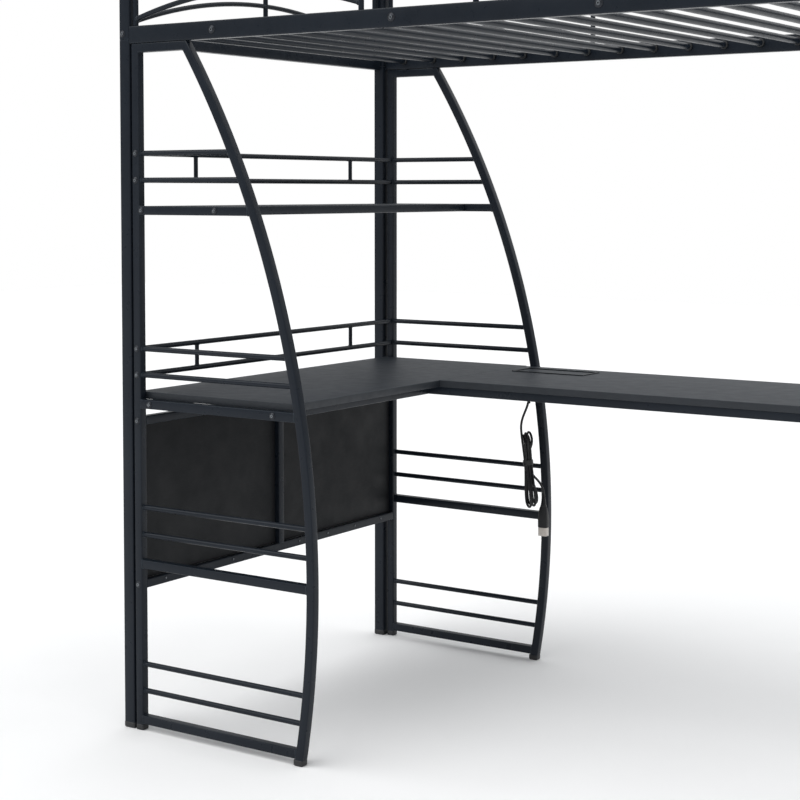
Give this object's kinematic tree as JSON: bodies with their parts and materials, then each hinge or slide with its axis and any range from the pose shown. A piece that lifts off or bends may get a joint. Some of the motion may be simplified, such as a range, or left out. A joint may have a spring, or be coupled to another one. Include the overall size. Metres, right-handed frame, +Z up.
{
  "type": "loft bed with desk",
  "caption": "Metal loft bed on square posts with slats, guards and a ladder, over an L-shaped desk, a shelf, arched side frames and a flush power unit.",
  "frame": {"origin": "centre of the four posts' outline, on the floor", "axes": "+X from the head end to the foot end, along the mattress; +Y from the open front to the back; +Z up"},
  "size_m": [1.94, 1.03, 1.88],
  "materials": {
    "frame_steel": "black powder coat with a faint blue cast, satin",
    "desk_laminate": "dark grey laminate on board, matte",
    "modesty_sheet": "dark matte panel",
    "power_plastic": "fine matte moulding",
    "lead_rubber": "black flexible sheath, low sheen"
  },
  "bodies": {
    "frame": {"post_lower_head_front": "frame_steel", "post_upper_head_front": "frame_steel", "post_lower_head_back": "frame_steel", "post_upper_head_back": "frame_steel", "post_lower_foot_front": "frame_steel", "post_upper_foot_front": "frame_steel", "post_lower_foot_back": "frame_steel", "post_upper_foot_back": "frame_steel", "side_rail_front": "frame_steel", "side_rail_back": "frame_steel", "end_rail_head": "frame_steel", "end_rail_foot": "frame_steel", "slat_01": "frame_steel", "slat_02": "frame_steel", "slat_03": "frame_steel", "slat_04": "frame_steel", "slat_05": "frame_steel", "slat_06": "frame_steel", "slat_07": "frame_steel", "slat_08": "frame_steel", "slat_09": "frame_steel", "slat_10": "frame_steel", "slat_11": "frame_steel", "slat_12": "frame_steel", "slat_13": "frame_steel", "slat_14": "frame_steel", "slat_15": "frame_steel", "slat_16": "frame_steel", "slat_17": "frame_steel", "slat_18": "frame_steel", "slat_19": "frame_steel", "slat_20": "frame_steel", "side_frame_front": "frame_steel", "side_frame_back": "frame_steel", "shelf_cross_head": "frame_steel", "shelf_cross_room": "frame_steel", "desk_cross_head": "frame_steel", "desk_cross_room": "frame_steel", "bar_guard_shelf": "frame_steel", "bar_guard_desk": "frame_steel", "modesty_frame": "frame_steel", "modesty_panel_front": "modesty_sheet", "modesty_panel_back": "modesty_sheet", "desk_board_short": "desk_laminate", "desk_board_long": "desk_laminate", "shelf_board": "desk_laminate", "desk_frame": "frame_steel", "desk_end_leg": "frame_steel", "ladder": "frame_steel", "guard_front": "frame_steel", "guard_back": "frame_steel", "guard_head": "frame_steel", "guard_foot": "frame_steel", "power_box": "power_plastic", "strain_relief": "lead_rubber", "cord_drop": "lead_rubber", "cord_hank": "lead_rubber", "cord_tail": "lead_rubber", "plug": "lead_rubber"},
    "power_lid": {"power_lid": "desk_laminate"}
  },
  "joints": [
    {"name": "power_lid_hinge", "type": "hinge", "parent": "frame", "child": "power_lid", "pos_m": [-0.3535, 0.427, 0.7675], "axis": [-1, 0, 0], "range_deg": [0, 95]}
  ]
}
